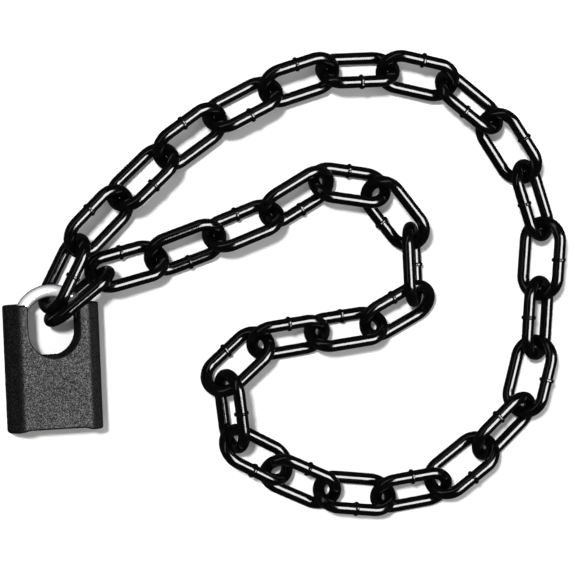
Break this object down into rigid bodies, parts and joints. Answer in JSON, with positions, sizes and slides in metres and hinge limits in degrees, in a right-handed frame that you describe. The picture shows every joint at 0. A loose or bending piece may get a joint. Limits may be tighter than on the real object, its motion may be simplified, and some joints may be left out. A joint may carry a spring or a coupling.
{
  "type": "chain lock",
  "caption": "Shrouded-shackle padlock closing a black welded steel chain into a loop, lying flat; the key cylinder turns, balls release and the shackle lifts.",
  "frame": {"origin": "centre of the padlock's flat back face, on the surface the lock lies on", "axes": "+X across the padlock towards the side the chain is laid out on, +Y along the padlock towards its shackle, +Z out of its front face"},
  "size_m": [0.297, 0.2416, 0.0273],
  "materials": {
    "chain_black": "gloss",
    "shell_black": "satin",
    "core_steel": "satin",
    "rivet_steel": "satin",
    "shackle_chrome": "polished",
    "spring_steel": "satin",
    "housing_brass": "satin",
    "plug_brass": "satin",
    "pin_brass": "satin",
    "pin_steel": "satin",
    "cam_steel": "satin",
    "ball_steel": "polished"
  },
  "bodies": {
    "padlock": {"outer_shell": "shell_black", "lock_core": "core_steel", "bottom_plate": "core_steel", "plate_rivets": "rivet_steel", "cylinder_housing": "housing_brass", "driver_pins": "pin_steel", "pin_springs": "spring_steel", "chamber_caps": "pin_brass", "drill_pins": "pin_steel", "shackle_spring": "spring_steel"},
    "shackle_body": {"shackle": "shackle_chrome"},
    "plug_body": {"plug": "plug_brass", "key_pins": "pin_brass", "plug_clip": "spring_steel"},
    "cam_body": {"cam": "cam_steel"},
    "ball_left_body": {"ball_left": "ball_steel"},
    "ball_right_body": {"ball_right": "ball_steel"},
    "link_01": {"link_01": "chain_black"},
    "link_02": {"link_02": "chain_black"},
    "link_03": {"link_03": "chain_black"},
    "link_04": {"link_04": "chain_black"},
    "link_05": {"link_05": "chain_black"},
    "link_06": {"link_06": "chain_black"},
    "link_07": {"link_07": "chain_black"},
    "link_08": {"link_08": "chain_black"},
    "link_09": {"link_09": "chain_black"},
    "link_10": {"link_10": "chain_black"},
    "link_11": {"link_11": "chain_black"},
    "link_12": {"link_12": "chain_black"},
    "link_13": {"link_13": "chain_black"},
    "link_14": {"link_14": "chain_black"},
    "link_15": {"link_15": "chain_black"},
    "link_16": {"link_16": "chain_black"},
    "link_17": {"link_17": "chain_black"},
    "link_18": {"link_18": "chain_black"},
    "link_19": {"link_19": "chain_black"},
    "link_20": {"link_20": "chain_black"},
    "link_21": {"link_21": "chain_black"},
    "link_22": {"link_22": "chain_black"},
    "link_23": {"link_23": "chain_black"},
    "link_24": {"link_24": "chain_black"},
    "link_25": {"link_25": "chain_black"},
    "link_26": {"link_26": "chain_black"},
    "link_27": {"link_27": "chain_black"},
    "link_28": {"link_28": "chain_black"},
    "link_29": {"link_29": "chain_black"},
    "link_30": {"link_30": "chain_black"},
    "link_31": {"link_31": "chain_black"},
    "link_32": {"link_32": "chain_black"},
    "link_33": {"link_33": "chain_black"}
  },
  "joints": [
    {"name": "shackle_lift", "type": "slide", "parent": "padlock", "child": "shackle_body", "axis": [0, 1, 0], "range_m": [0, 0.004], "deforming": ["shackle_spring"]},
    {"name": "plug_turn", "type": "hinge", "parent": "padlock", "child": "plug_body", "pos_m": [0, -0.02, 0.0108], "axis": [0, 1, 0], "range_deg": [0, 90]},
    {"name": "cam_turn", "type": "hinge", "parent": "padlock", "child": "cam_body", "pos_m": [0, -0.0016, 0.0108], "axis": [0, 1, 0], "range_deg": [0, 90]},
    {"name": "ball_left_in", "type": "slide", "parent": "padlock", "child": "ball_left_body", "axis": [1, 0, 0], "range_m": [0, 0.00145]},
    {"name": "ball_right_in", "type": "slide", "parent": "padlock", "child": "ball_right_body", "axis": [-1, 0, 0], "range_m": [0, 0.00145]},
    {"name": "swing_01", "type": "hinge", "parent": "shackle_body", "child": "link_01", "pos_m": [-0.00277, 0.03646, 0.00816], "axis": [0.9871, -0.1509, -0.0539], "range_deg": [-1.5, 1.5]},
    {"name": "swing_33", "type": "hinge", "parent": "shackle_body", "child": "link_33", "pos_m": [0.01121, 0.03432, 0.0074], "axis": [0.9871, -0.1509, -0.0539], "range_deg": [-1.5, 1.5]},
    {"name": "swing_02", "type": "hinge", "parent": "link_01", "child": "link_02", "pos_m": [0.01453, 0.06192, 0.01381], "axis": [0.5625, -0.7979, 0.2166], "range_deg": [-6, 0.5]},
    {"name": "swing_32", "type": "hinge", "parent": "link_33", "child": "link_32", "pos_m": [0.02827, 0.04242, 0.0191], "axis": [0.5625, -0.7979, 0.2166], "range_deg": [-6, 0.5]},
    {"name": "swing_03", "type": "hinge", "parent": "link_02", "child": "link_03", "pos_m": [0.03796, 0.08389, 0.01232], "axis": [0.4875, -0.8679, -0.0953], "range_deg": [-11, 8]},
    {"name": "swing_31", "type": "hinge", "parent": "link_32", "child": "link_31", "pos_m": [0.05591, 0.05193, 0.00881], "axis": [0.4875, -0.8679, -0.0953], "range_deg": [-11, 8]},
    {"name": "swing_04", "type": "hinge", "parent": "link_03", "child": "link_04", "pos_m": [0.06197, 0.10528, 0.01135], "axis": [0.491, -0.8708, -0.0261], "range_deg": [-8, 11]},
    {"name": "swing_30", "type": "hinge", "parent": "link_31", "child": "link_30", "pos_m": [0.08632, 0.0621, 0.01006], "axis": [0.491, -0.8708, -0.0261], "range_deg": [-8, 11]},
    {"name": "swing_05", "type": "hinge", "parent": "link_04", "child": "link_05", "pos_m": [0.08912, 0.12251, 0.01117], "axis": [0.4818, -0.8755, -0.0375], "range_deg": [-9.5, 9.5]},
    {"name": "swing_29", "type": "hinge", "parent": "link_30", "child": "link_29", "pos_m": [0.11614, 0.0734, 0.00907], "axis": [0.4818, -0.8755, -0.0375], "range_deg": [-9.5, 9.5]},
    {"name": "swing_06", "type": "hinge", "parent": "link_05", "child": "link_06", "pos_m": [0.1182, 0.13623, 0.01112], "axis": [0.4837, -0.8751, -0.0181], "range_deg": [-4.5, 4.5]},
    {"name": "swing_28", "type": "hinge", "parent": "link_29", "child": "link_28", "pos_m": [0.14272, 0.09187, 0.0102], "axis": [0.4837, -0.8751, -0.0181], "range_deg": [-4.5, 4.5]},
    {"name": "swing_07", "type": "hinge", "parent": "link_06", "child": "link_07", "pos_m": [0.14905, 0.14504, 0.01137], "axis": [0.4114, -0.9113, -0.0126], "range_deg": [-9.5, 8]},
    {"name": "swing_27", "type": "hinge", "parent": "link_28", "child": "link_27", "pos_m": [0.17597, 0.0854, 0.01054], "axis": [0.4114, -0.9113, -0.0126], "range_deg": [-9.5, 8]},
    {"name": "swing_08", "type": "hinge", "parent": "link_07", "child": "link_08", "pos_m": [0.18121, 0.14496, 0.01186], "axis": [0.1209, -0.9907, -0.0619], "range_deg": [-6, 9.5]},
    {"name": "swing_26", "type": "hinge", "parent": "link_27", "child": "link_26", "pos_m": [0.19231, 0.05399, 0.00618], "axis": [0.1209, -0.9907, -0.0619], "range_deg": [-6, 9.5]},
    {"name": "swing_09", "type": "hinge", "parent": "link_08", "child": "link_09", "pos_m": [0.21247, 0.13722, 0.01182], "axis": [-0.1496, -0.9881, -0.0351], "range_deg": [0, 9.5]},
    {"name": "swing_25", "type": "hinge", "parent": "link_26", "child": "link_25", "pos_m": [0.19602, 0.02853, 0.00796], "axis": [-0.1496, -0.9881, -0.0351], "range_deg": [0, 9.5]},
    {"name": "swing_10", "type": "hinge", "parent": "link_09", "child": "link_10", "pos_m": [0.23796, 0.11709, 0.01076], "axis": [-0.541, -0.841, -0.0109], "range_deg": [-9.5, 9.5]},
    {"name": "swing_24", "type": "hinge", "parent": "link_25", "child": "link_24", "pos_m": [0.16952, 0.01072, 0.00938], "axis": [-0.541, -0.841, -0.0109], "range_deg": [-9.5, 9.5]},
    {"name": "swing_11", "type": "hinge", "parent": "link_10", "child": "link_11", "pos_m": [0.25581, 0.08983, 0.00942], "axis": [-0.8325, -0.5541, -0.0031], "range_deg": [-9.5, 8]},
    {"name": "swing_23", "type": "hinge", "parent": "link_24", "child": "link_23", "pos_m": [0.13862, 0.01184, 0.00898], "axis": [-0.8325, -0.5541, -0.0031], "range_deg": [-9.5, 8]},
    {"name": "swing_12", "type": "hinge", "parent": "link_11", "child": "link_12", "pos_m": [0.26423, 0.05928, 0.00934], "axis": [-0.9548, -0.297, 0.0116], "range_deg": [-11, 6]},
    {"name": "swing_22", "type": "hinge", "parent": "link_23", "child": "link_22", "pos_m": [0.10763, 0.01057, 0.01124], "axis": [-0.9548, -0.297, 0.0116], "range_deg": [-11, 6]},
    {"name": "swing_13", "type": "hinge", "parent": "link_12", "child": "link_13", "pos_m": [0.26129, 0.02692, 0.00895], "axis": [-0.9728, -0.2251, 0.0545], "range_deg": [-6, 6]},
    {"name": "swing_21", "type": "hinge", "parent": "link_22", "child": "link_21", "pos_m": [0.09206, -0.01223, 0.01844], "axis": [-0.9728, -0.2251, 0.0545], "range_deg": [-6, 6]},
    {"name": "swing_14", "type": "hinge", "parent": "link_13", "child": "link_14", "pos_m": [0.2592, -0.00347, 0.00867], "axis": [-0.9784, -0.2061, -0.0126], "range_deg": [-11, 9.5]},
    {"name": "swing_20", "type": "hinge", "parent": "link_21", "child": "link_20", "pos_m": [0.0908, -0.03894, 0.00649], "axis": [-0.9784, -0.2061, -0.0126], "range_deg": [-11, 9.5]},
    {"name": "swing_15", "type": "hinge", "parent": "link_14", "child": "link_15", "pos_m": [0.25163, -0.03458, 0.01094], "axis": [-0.9841, -0.1777, 0.0082], "range_deg": [-8, 6]},
    {"name": "swing_19", "type": "hinge", "parent": "link_20", "child": "link_19", "pos_m": [0.10844, -0.06044, 0.01213], "axis": [-0.9841, -0.1777, 0.0082], "range_deg": [-8, 6]},
    {"name": "swing_16", "type": "hinge", "parent": "link_15", "child": "link_16", "pos_m": [0.22845, -0.05686, 0.00953], "axis": [-0.9765, -0.2151, 0.0144], "range_deg": [-16, 16]},
    {"name": "swing_18", "type": "hinge", "parent": "link_19", "child": "link_18", "pos_m": [0.14002, -0.07634, 0.01084], "axis": [-0.9765, -0.2151, 0.0144], "range_deg": [-16, 16]},
    {"name": "roll_17", "type": "hinge", "parent": "link_16", "child": "link_17", "pos_m": [0.20294, -0.07547, 0.0105], "axis": [-0.9924, -0.1184, -0.0329], "range_deg": [-11, 16]}
  ],
  "couplings": [
    {"joint": "plug_turn", "follows": "shackle_lift", "rad_per_m": 392.7},
    {"joint": "cam_turn", "follows": "shackle_lift", "rad_per_m": 392.7},
    {"joint": "ball_left_in", "follows": "shackle_lift", "ratio": 0.3625},
    {"joint": "ball_right_in", "follows": "shackle_lift", "ratio": 0.3625},
    {"joint": "swing_33", "follows": "swing_01", "ratio": 1},
    {"joint": "swing_32", "follows": "swing_02", "ratio": 1},
    {"joint": "swing_31", "follows": "swing_03", "ratio": 1},
    {"joint": "swing_30", "follows": "swing_04", "ratio": 1},
    {"joint": "swing_29", "follows": "swing_05", "ratio": 1},
    {"joint": "swing_28", "follows": "swing_06", "ratio": 1},
    {"joint": "swing_27", "follows": "swing_07", "ratio": 1},
    {"joint": "swing_26", "follows": "swing_08", "ratio": 1},
    {"joint": "swing_25", "follows": "swing_09", "ratio": 1},
    {"joint": "swing_24", "follows": "swing_10", "ratio": 1},
    {"joint": "swing_23", "follows": "swing_11", "ratio": 1},
    {"joint": "swing_22", "follows": "swing_12", "ratio": 1},
    {"joint": "swing_21", "follows": "swing_13", "ratio": 1},
    {"joint": "swing_20", "follows": "swing_14", "ratio": 1},
    {"joint": "swing_19", "follows": "swing_15", "ratio": 1},
    {"joint": "swing_18", "follows": "swing_16", "ratio": 1}
  ]
}
